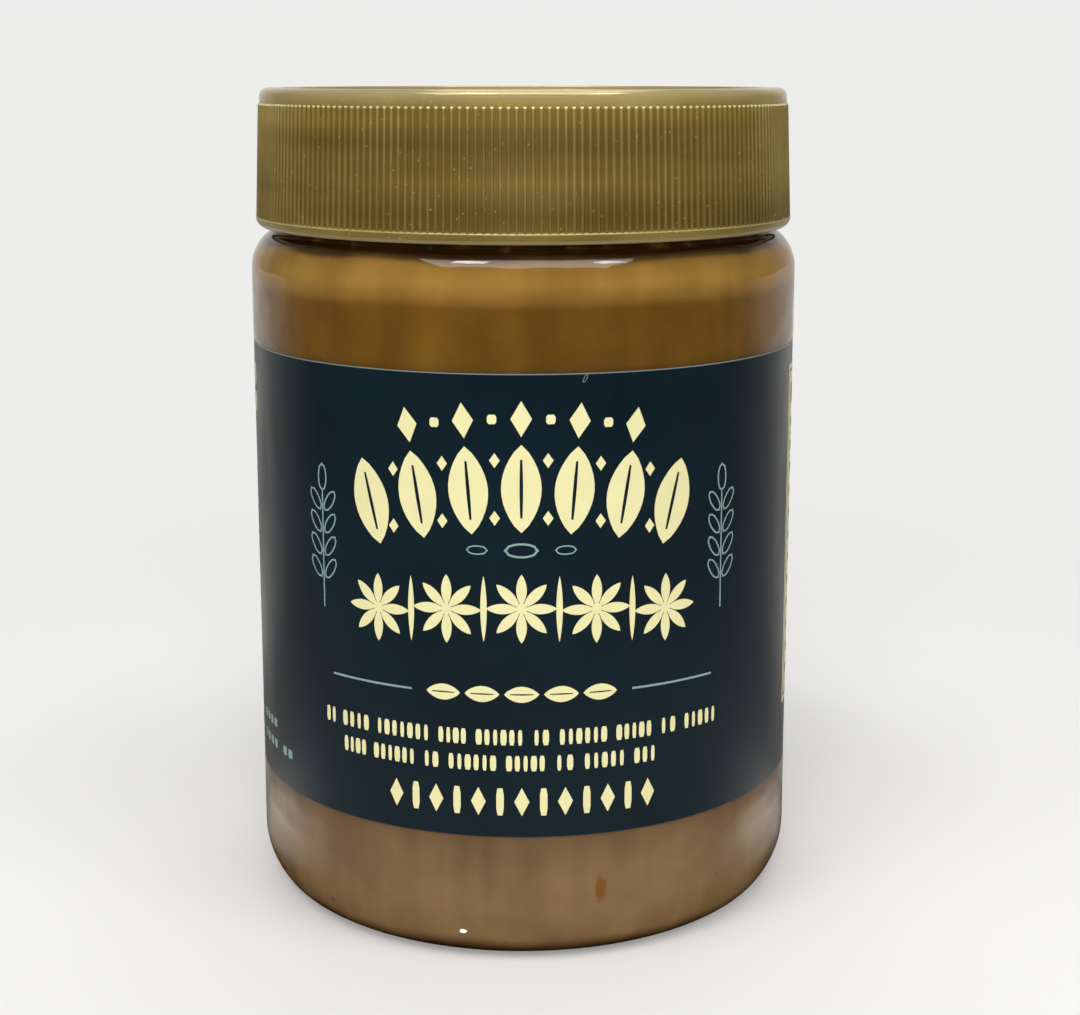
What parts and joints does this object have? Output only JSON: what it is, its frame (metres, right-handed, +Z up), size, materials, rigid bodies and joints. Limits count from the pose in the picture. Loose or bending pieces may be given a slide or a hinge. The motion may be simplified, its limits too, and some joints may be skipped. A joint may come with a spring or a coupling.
{
  "type": "jar of cookie butter",
  "caption": "Clear round jar filled with smooth brown biscuit spread, with a dark wrap label and a finely ribbed gold screw cap.",
  "frame": {"origin": "centre of the base on the jar's axis, at the surface it stands on", "axes": "+Z up along the jar's axis, towards the cap"},
  "size_m": [0.0706, 0.0706, 0.1042],
  "materials": {
    "clear_pet": "gloss",
    "biscuit_spread": "satin",
    "printed_film": "satin",
    "gold_plastic": "satin"
  },
  "bodies": {
    "root": {"jar": "clear_pet", "spread": "biscuit_spread", "label": "printed_film", "cap": "gold_plastic"}
  },
  "joints": []
}
